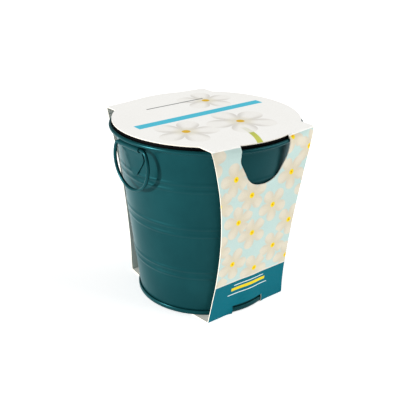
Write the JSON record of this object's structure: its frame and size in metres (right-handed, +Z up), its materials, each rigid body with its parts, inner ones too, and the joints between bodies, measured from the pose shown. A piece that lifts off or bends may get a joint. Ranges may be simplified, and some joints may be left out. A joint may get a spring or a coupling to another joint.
{
  "type": "paperwhite narcissus bulb growing kit in a metal pail",
  "caption": "Painted metal pail with hanging ring handles, holding a liner pot of medium and narcissus bulbs, in a folded printed card sleeve with thumb notches.",
  "frame": {"origin": "on the surface it stands on, under the middle of the pail", "axes": "+Z up; the sleeve's broad notched panels face -Y and +Y; the ring handles hang near -X and +X"},
  "size_m": [0.1498, 0.15, 0.1457],
  "materials": {
    "pail_paint": "satin",
    "liner_plastic": "satin",
    "growing_medium": "matte",
    "bulb_tunic": "satin",
    "sleeve_card": "satin"
  },
  "bodies": {
    "kit": {"pail_wall": "pail_paint", "pail_base": "pail_paint", "ear_left": "pail_paint", "ear_right": "pail_paint", "liner_pot": "liner_plastic", "growing_medium": "growing_medium", "bulb_a": "bulb_tunic", "bulb_b": "bulb_tunic", "bulb_c": "bulb_tunic", "card_sleeve": "sleeve_card"},
    "handle_left": {"ring_left": "pail_paint"},
    "handle_right": {"ring_right": "pail_paint"}
  },
  "joints": [
    {"name": "handle_left_swing", "type": "hinge", "parent": "kit", "child": "handle_left", "pos_m": [-0.07204, -0.00415, 0.13705], "axis": [-0.0436, 0.999, 0], "range_deg": [-6, 138]},
    {"name": "handle_right_swing", "type": "hinge", "parent": "kit", "child": "handle_right", "pos_m": [0.07204, 0.00415, 0.13705], "axis": [0.0436, -0.999, 0], "range_deg": [-6, 138]}
  ]
}
